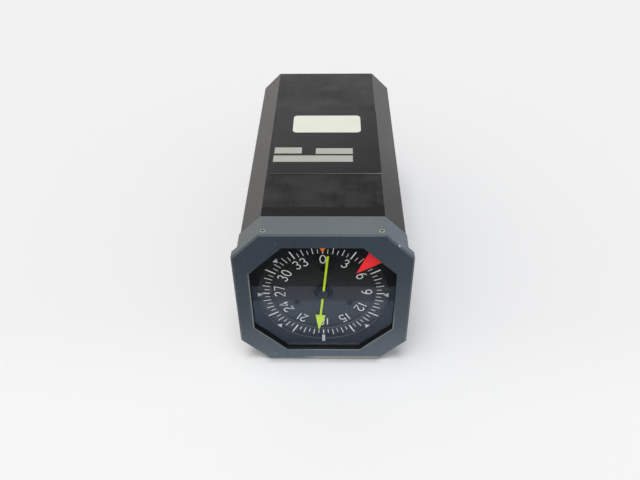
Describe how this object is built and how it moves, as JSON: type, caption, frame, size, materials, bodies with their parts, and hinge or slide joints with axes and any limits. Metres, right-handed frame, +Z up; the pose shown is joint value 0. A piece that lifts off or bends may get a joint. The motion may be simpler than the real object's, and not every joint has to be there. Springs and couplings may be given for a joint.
{
  "type": "radio magnetic indicator",
  "caption": "Aircraft panel indicator: octagonal case, glazed bezel, servo-driven compass card, bearing needle, swinging warning flag and a round rear connector.",
  "frame": {"origin": "centre of the bottom of the overall box, under the middle of the length", "axes": "+X to the right of the dial as seen from the front, +Y from the dial to the rear connector, +Z up towards the lubber mark"},
  "size_m": [0.0874, 0.1832, 0.0874],
  "materials": {
    "bezel_paint": "satin slate blue-grey paint",
    "case_paint": "satin black paint",
    "black_frame": "matt black",
    "dial_black": "matt black",
    "window_glass": "clear, coated",
    "black_rubber": "matt",
    "needle_paint": "fluorescent yellow-green",
    "flag_paint": "fluorescent red",
    "plated_steel": "plated",
    "black_screw": "blackened",
    "shaft_steel": "ground",
    "gear_brass": "machined",
    "plate_aluminium": "machined",
    "can_steel": "passivated",
    "circuit_board": "green laminate",
    "component_plastic": "moulded",
    "transformer_steel": "varnished",
    "connector_finish": "olive plated",
    "insert_rubber": "moulded",
    "contact_gold": "gold plated",
    "data_plate_metal": "dark anodised",
    "label_plastic": "cream"
  },
  "bodies": {
    "housing": {"bezel": "bezel_paint", "bezel_screws": "plated_steel", "window_gasket": "black_rubber", "window_glass": "window_glass", "window_frame": "black_frame", "frame_screws": "plated_steel", "index_mask": "dial_black", "front_frame": "black_frame", "front_plate": "plate_aluminium", "plate_screws": "plated_steel", "front_bearing": "shaft_steel", "rear_bearing": "shaft_steel", "bearing_synchro": "can_steel", "synchro_mount": "plate_aluminium", "synchro_screws": "plated_steel", "idler_bushes": "gear_brass", "servo_motor": "can_steel", "heading_synchro": "can_steel", "can_clamps": "plated_steel", "flag_movement": "black_frame", "front_posts": "plate_aluminium", "middle_plate": "plate_aluminium", "main_posts": "plate_aluminium", "post_screws": "plated_steel", "servo_board": "circuit_board", "servo_board_parts": "component_plastic", "power_board": "circuit_board", "power_board_parts": "component_plastic", "board_posts": "plate_aluminium", "rear_posts": "plate_aluminium", "transformer": "transformer_steel", "rear_bulkhead": "plate_aluminium", "rear_standoffs": "plate_aluminium", "case_shell": "case_paint", "rear_screws": "plated_steel", "connector_shell": "connector_finish", "connector_gasket": "black_rubber", "connector_insert": "insert_rubber", "connector_pins": "contact_gold", "connector_screws": "plated_steel", "data_plate": "data_plate_metal", "blank_label": "label_plastic"},
    "card": {"compass_card": "dial_black", "card_screws": "black_screw", "card_shaft": "shaft_steel", "card_gear": "gear_brass", "needle_bushes": "gear_brass"},
    "needle": {"needle": "needle_paint", "needle_hub": "dial_black", "needle_shaft": "shaft_steel"},
    "idler": {"idler_gear": "gear_brass", "idler_shaft": "shaft_steel"},
    "motor_rotor": {"motor_pinion": "gear_brass", "motor_shaft": "shaft_steel"},
    "synchro_rotor": {"synchro_gear": "gear_brass", "synchro_shaft": "shaft_steel"},
    "flag": {"warning_flag": "flag_paint", "flag_shaft": "shaft_steel"}
  },
  "joints": [
    {"name": "card_spin", "type": "hinge", "parent": "housing", "child": "card", "pos_m": [0, -0.0846, 0.0437], "axis": [0, 1, 0], "continuous": true},
    {"name": "needle_spin", "type": "hinge", "parent": "housing", "child": "needle", "pos_m": [0, -0.0863, 0.0437], "axis": [0, 1, 0], "continuous": true},
    {"name": "idler_spin", "type": "hinge", "parent": "housing", "child": "idler", "pos_m": [0.00725, -0.0736, 0.05626], "axis": [0, 1, 0], "continuous": true},
    {"name": "motor_spin", "type": "hinge", "parent": "housing", "child": "motor_rotor", "pos_m": [0.0202, -0.0706, 0.05512], "axis": [0, 1, 0], "continuous": true},
    {"name": "synchro_spin", "type": "hinge", "parent": "housing", "child": "synchro_rotor", "pos_m": [0, -0.0756, 0.0227], "axis": [0, 1, 0], "continuous": true},
    {"name": "flag_swing", "type": "hinge", "parent": "housing", "child": "flag", "pos_m": [0.0245, -0.0876, 0.0767], "axis": [0, -1, 0], "range_deg": [0, 68]}
  ],
  "couplings": [
    {"joint": "idler_spin", "follows": "card_spin", "ratio": -2.625},
    {"joint": "motor_spin", "follows": "card_spin", "ratio": 5.9062},
    {"joint": "synchro_spin", "follows": "card_spin", "ratio": -1}
  ]
}
